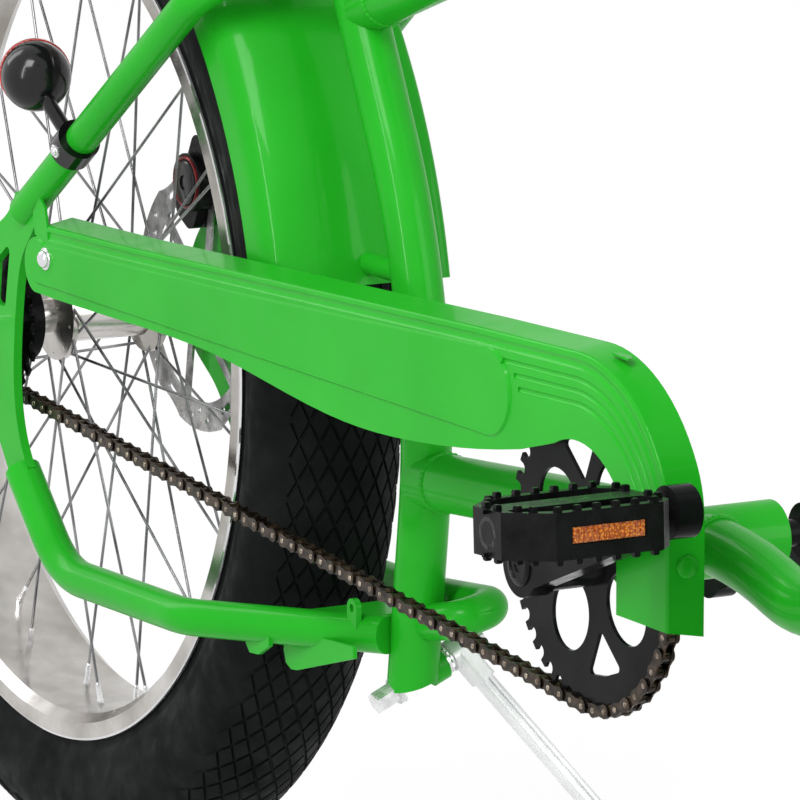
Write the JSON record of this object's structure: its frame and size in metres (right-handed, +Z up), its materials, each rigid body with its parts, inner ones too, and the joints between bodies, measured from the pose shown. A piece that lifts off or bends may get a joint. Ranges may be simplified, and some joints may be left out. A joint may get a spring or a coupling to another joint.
{
  "type": "fat tyre cruiser bicycle",
  "caption": "Stretched single-speed cruiser bicycle on fat tyres, with fenders, a hooded chain guard, disc brakes, wide bars and a side stand that it leans on.",
  "frame": {"origin": "on the floor under the middle of the whole bicycle's box", "axes": "+X forward, +Y to the rider's left, +Z up"},
  "size_m": [2.2073, 0.7312, 1.2008],
  "materials": {
    "frame_paint": "gloss enamel",
    "tyre_rubber": "matt tread",
    "rim_alloy": "polished",
    "spoke_steel": "bright",
    "rotor_steel": "brushed",
    "black_steel": "gloss black",
    "chain_steel": "oiled brown",
    "bar_chrome": "polished",
    "grip_rubber": "matt",
    "black_plastic": "moulded",
    "reflector_red": "prismatic",
    "saddle_cover": "grained",
    "stand_alloy": "cast"
  },
  "bodies": {
    "frame": {"seat_tube": "frame_paint", "head_tube": "frame_paint", "top_tube": "frame_paint", "connecting_tube": "frame_paint", "down_tube": "frame_paint", "bottom_bracket_shell": "frame_paint", "chain_stay_right": "frame_paint", "chain_stay_left": "frame_paint", "seat_stay_right": "frame_paint", "seat_stay_left": "frame_paint", "dropout_right": "frame_paint", "dropout_left": "frame_paint", "stay_bridge": "frame_paint", "rear_fender": "frame_paint", "chain_guard": "frame_paint", "chain": "chain_steel", "seatpost": "bar_chrome", "seat_clamp": "black_steel", "saddle_frame": "black_steel", "saddle": "saddle_cover", "rear_axle": "rotor_steel", "rear_caliper": "black_plastic", "seat_stay_reflector": "reflector_red", "headset": "black_steel", "stand_bolt": "rotor_steel"},
    "fork": {"fork": "frame_paint", "stem": "bar_chrome", "handlebar": "bar_chrome", "grips": "grip_rubber", "brake_levers": "black_plastic", "front_fender": "frame_paint", "front_caliper": "black_plastic", "front_axle": "rotor_steel"},
    "front_wheel": {"front_tyre": "tyre_rubber", "front_rim": "rim_alloy", "front_hub": "rim_alloy", "front_spokes": "spoke_steel", "front_rotor": "rotor_steel"},
    "rear_wheel": {"rear_tyre": "tyre_rubber", "rear_rim": "rim_alloy", "rear_hub": "rim_alloy", "rear_spokes": "spoke_steel", "rear_rotor": "rotor_steel", "rear_cog": "black_steel"},
    "crank": {"chainring": "black_steel", "crank_arm_right": "black_steel", "crank_arm_left": "black_steel"},
    "pedal_right": {"pedal_right": "black_plastic"},
    "pedal_left": {"pedal_left": "black_plastic"},
    "kickstand": {"kickstand": "stand_alloy"}
  },
  "joints": [
    {"name": "steering", "type": "hinge", "parent": "frame", "child": "fork", "pos_m": [0.45727, -0.01979, 0.86227], "axis": [-0.4067, 0.0637, 0.9113], "range_deg": [-50, 50]},
    {"name": "front_wheel_spin", "type": "hinge", "parent": "fork", "child": "front_wheel", "pos_m": [0.73072, -0.05406, 0.37221], "axis": [0, 0.9976, -0.0698], "continuous": true},
    {"name": "rear_wheel_spin", "type": "hinge", "parent": "frame", "child": "rear_wheel", "pos_m": [-0.70928, -0.05406, 0.37221], "axis": [0, 0.9976, -0.0698], "continuous": true},
    {"name": "crank_spin", "type": "hinge", "parent": "frame", "child": "crank", "pos_m": [0.06972, -0.05531, 0.35426], "axis": [0, 0.9976, -0.0698], "continuous": true},
    {"name": "pedal_right_spin", "type": "hinge", "parent": "crank", "child": "pedal_right", "pos_m": [0.22927, -0.22579, 0.42502], "axis": [0, 0.9976, -0.0698], "continuous": true},
    {"name": "pedal_left_spin", "type": "hinge", "parent": "crank", "child": "pedal_left", "pos_m": [-0.08982, 0.11517, 0.28349], "axis": [0, 0.9976, -0.0698], "continuous": true},
    {"name": "kickstand_fold", "type": "hinge", "parent": "frame", "child": "kickstand", "pos_m": [-0.27228, -0.03026, 0.21694], "axis": [0, 0.9366, 0.3505], "range_deg": [0, 96]}
  ]
}
